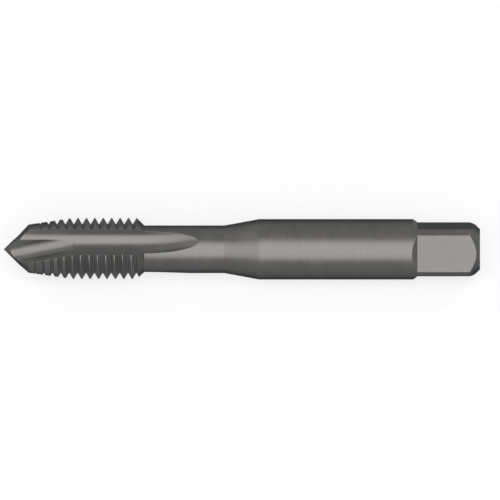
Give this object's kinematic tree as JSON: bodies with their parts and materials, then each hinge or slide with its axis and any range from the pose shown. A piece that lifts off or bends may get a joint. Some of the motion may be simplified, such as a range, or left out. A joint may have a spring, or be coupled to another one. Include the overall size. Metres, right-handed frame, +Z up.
{
  "type": "spiral point thread tap",
  "caption": "Right-hand machine thread tap of ground steel: spiral point, straight chip flutes, relieved neck, plain round shank and square drive end.",
  "frame": {"origin": "on the tap's axis, halfway along its plain round shank", "axes": "+X runs along the axis from the point towards the driving square; +Z is up as the tap lies at rest on one land and the back of its shank, and points through a corner of the square"},
  "size_m": [0.0708, 0.0091, 0.0091],
  "materials": {
    "tap": "satin dark steel, ground bright on the crests of the thread"
  },
  "bodies": {
    "root": {"tap": "tap"}
  },
  "joints": []
}
